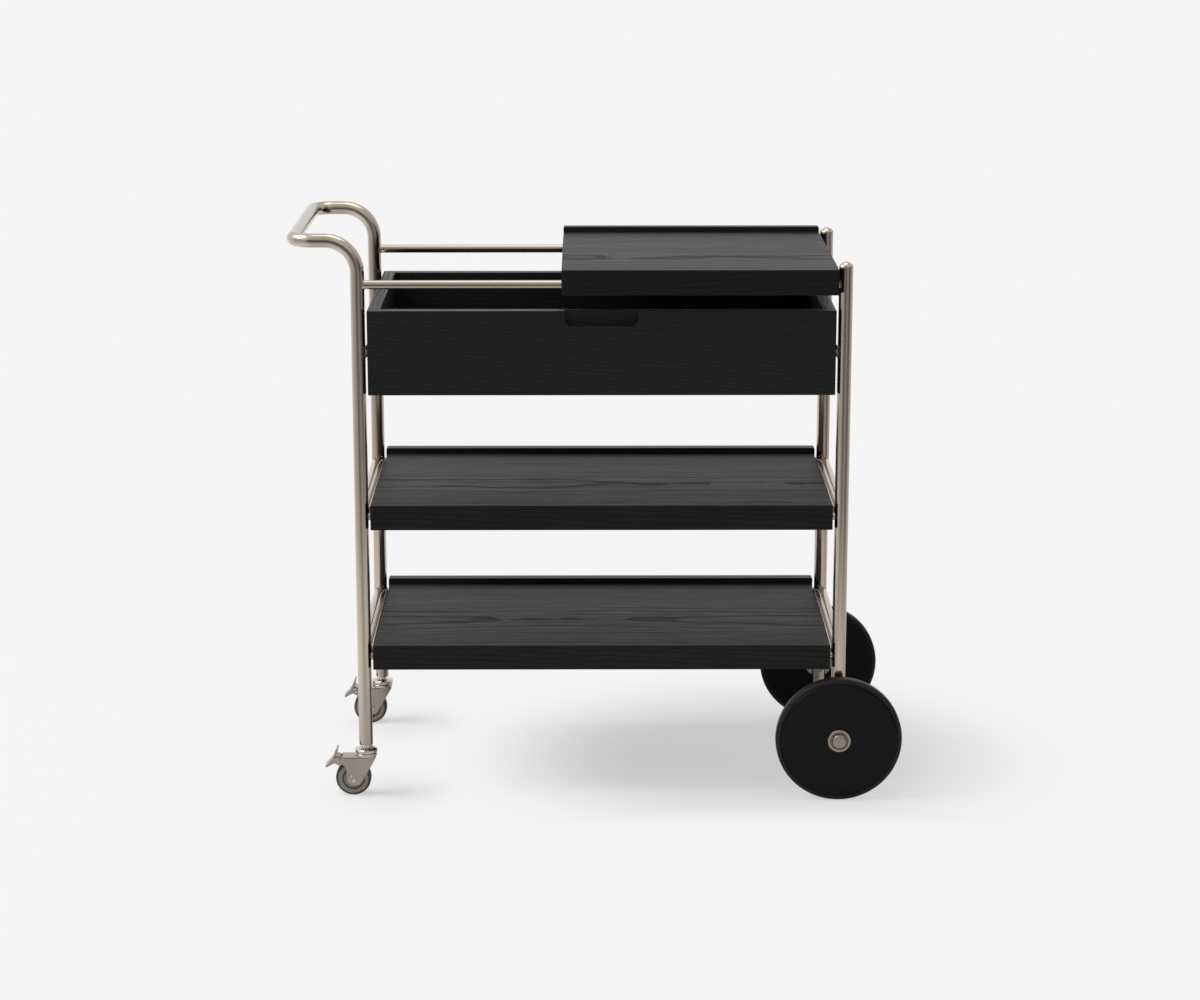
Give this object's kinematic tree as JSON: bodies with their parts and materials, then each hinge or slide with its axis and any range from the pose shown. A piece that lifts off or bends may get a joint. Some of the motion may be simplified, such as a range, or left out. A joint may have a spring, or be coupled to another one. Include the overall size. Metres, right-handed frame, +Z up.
{
  "type": "bar cart",
  "caption": "Wheeled serving cart: bent steel tube frame with push handle, sliding top tray, drawer, lipped shelves, large end wheels and braked swivel casters.",
  "frame": {"origin": "on the floor, in the middle of the overall length and depth", "axes": "+X along the cart from the handle to the large wheels, +Y from the drawer front to the back, +Z up"},
  "size_m": [0.9745, 0.48, 0.915],
  "materials": {
    "satin_nickel": "satin nickel plated steel tube, faintly brushed along its length",
    "polished_nickel": "polished nickel plated turned and stamped steel",
    "slide_steel": "zinc plated cold-rolled slide steel",
    "black_ash": "black-stained open-grain ash, satin lacquer, grain along the length",
    "wheel_black": "black satin lacquered disc",
    "black_rubber": "matt black rubber",
    "grey_rubber": "grey caster rubber",
    "grey_plastic": "moulded grey nylon",
    "black_nylon": "black nylon pad",
    "bronze": "plain sintered bronze"
  },
  "bodies": {
    "frame": {"back_caster_stem": "polished_nickel", "back_right_post": "satin_nickel", "back_top_rail": "satin_nickel", "back_wheel_axle": "polished_nickel", "frame_screws": "slide_steel", "front_caster_stem": "polished_nickel", "front_right_post": "satin_nickel", "front_top_rail": "satin_nickel", "front_wheel_axle": "polished_nickel", "handle_frame": "satin_nickel", "left_lower_cross_tube": "satin_nickel", "left_middle_cross_tube": "satin_nickel", "left_slide_channel": "slide_steel", "lower_shelf_angles": "satin_nickel", "lower_shelf_back_rail": "black_ash", "lower_shelf_front_rail": "black_ash", "lower_shelf_panel": "black_ash", "middle_shelf_angles": "satin_nickel", "middle_shelf_back_rail": "black_ash", "middle_shelf_front_rail": "black_ash", "middle_shelf_panel": "black_ash", "post_foot_plugs": "black_nylon", "post_top_caps": "polished_nickel", "right_lower_cross_tube": "satin_nickel", "right_middle_cross_tube": "satin_nickel", "right_slide_channel": "slide_steel", "shelf_bolts": "satin_nickel", "wheel_hub_caps": "polished_nickel", "wheel_inner_flanges": "polished_nickel"},
    "drawer": {"drawer_back": "black_ash", "drawer_bottom": "black_ash", "drawer_front": "black_ash", "drawer_left_side": "black_ash", "drawer_right_side": "black_ash", "left_slide_runner": "slide_steel", "right_slide_runner": "slide_steel", "runner_screws": "slide_steel"},
    "slide_cages": {"slide_ball_cages": "slide_steel"},
    "tray": {"tray_back_apron": "black_ash", "tray_front_apron": "black_ash", "tray_glides": "black_nylon", "tray_panel": "black_ash"},
    "front_wheel": {"front_wheel_bush": "bronze", "front_wheel_disc": "wheel_black", "front_wheel_tyre": "black_rubber"},
    "front_caster_swivel": {"front_caster_axle": "polished_nickel", "front_caster_fork": "polished_nickel", "front_pedal_pin": "polished_nickel"},
    "front_caster_wheel": {"front_caster_hub": "grey_plastic", "front_caster_tyre": "grey_rubber"},
    "front_brake": {"front_brake_pedal": "polished_nickel"},
    "back_wheel": {"back_wheel_bush": "bronze", "back_wheel_disc": "wheel_black", "back_wheel_tyre": "black_rubber"},
    "back_caster_swivel": {"back_caster_axle": "polished_nickel", "back_caster_fork": "polished_nickel", "back_pedal_pin": "polished_nickel"},
    "back_caster_wheel": {"back_caster_hub": "grey_plastic", "back_caster_tyre": "grey_rubber"},
    "back_brake": {"back_brake_pedal": "polished_nickel"}
  },
  "joints": [
    {"name": "drawer_slide", "type": "slide", "parent": "frame", "child": "drawer", "axis": [0, -1, 0], "range_m": [0, 0.265]},
    {"name": "cage_slide", "type": "slide", "parent": "frame", "child": "slide_cages", "axis": [0, -1, 0], "range_m": [0, 0.1325]},
    {"name": "tray_slide", "type": "slide", "parent": "frame", "child": "tray", "axis": [-1, 0, 0], "range_m": [0, 0.306]},
    {"name": "front_wheel_spin", "type": "hinge", "parent": "frame", "child": "front_wheel", "pos_m": [0.38575, -0.2075, 0.1015], "axis": [0, 1, 0], "continuous": true},
    {"name": "front_caster_turn", "type": "hinge", "parent": "frame", "child": "front_caster_swivel", "pos_m": [-0.37625, -0.19, 0.0685], "axis": [0, 0, 1], "continuous": true},
    {"name": "front_caster_spin", "type": "hinge", "parent": "front_caster_swivel", "child": "front_caster_wheel", "pos_m": [-0.39725, -0.19, 0.0285], "axis": [0, 1, 0], "continuous": true},
    {"name": "front_brake_press", "type": "hinge", "parent": "front_caster_swivel", "child": "front_brake", "pos_m": [-0.42225, -0.19, 0.0595], "axis": [0, -1, 0], "range_deg": [0, 18]},
    {"name": "back_wheel_spin", "type": "hinge", "parent": "frame", "child": "back_wheel", "pos_m": [0.38575, 0.2075, 0.1015], "axis": [0, 1, 0], "continuous": true},
    {"name": "back_caster_turn", "type": "hinge", "parent": "frame", "child": "back_caster_swivel", "pos_m": [-0.37625, 0.19, 0.0685], "axis": [0, 0, 1], "continuous": true},
    {"name": "back_caster_spin", "type": "hinge", "parent": "back_caster_swivel", "child": "back_caster_wheel", "pos_m": [-0.39725, 0.19, 0.0285], "axis": [0, 1, 0], "continuous": true},
    {"name": "back_brake_press", "type": "hinge", "parent": "back_caster_swivel", "child": "back_brake", "pos_m": [-0.42225, 0.19, 0.0595], "axis": [0, -1, 0], "range_deg": [0, 18]}
  ],
  "couplings": [
    {"joint": "cage_slide", "follows": "drawer_slide", "ratio": 0.5}
  ]
}
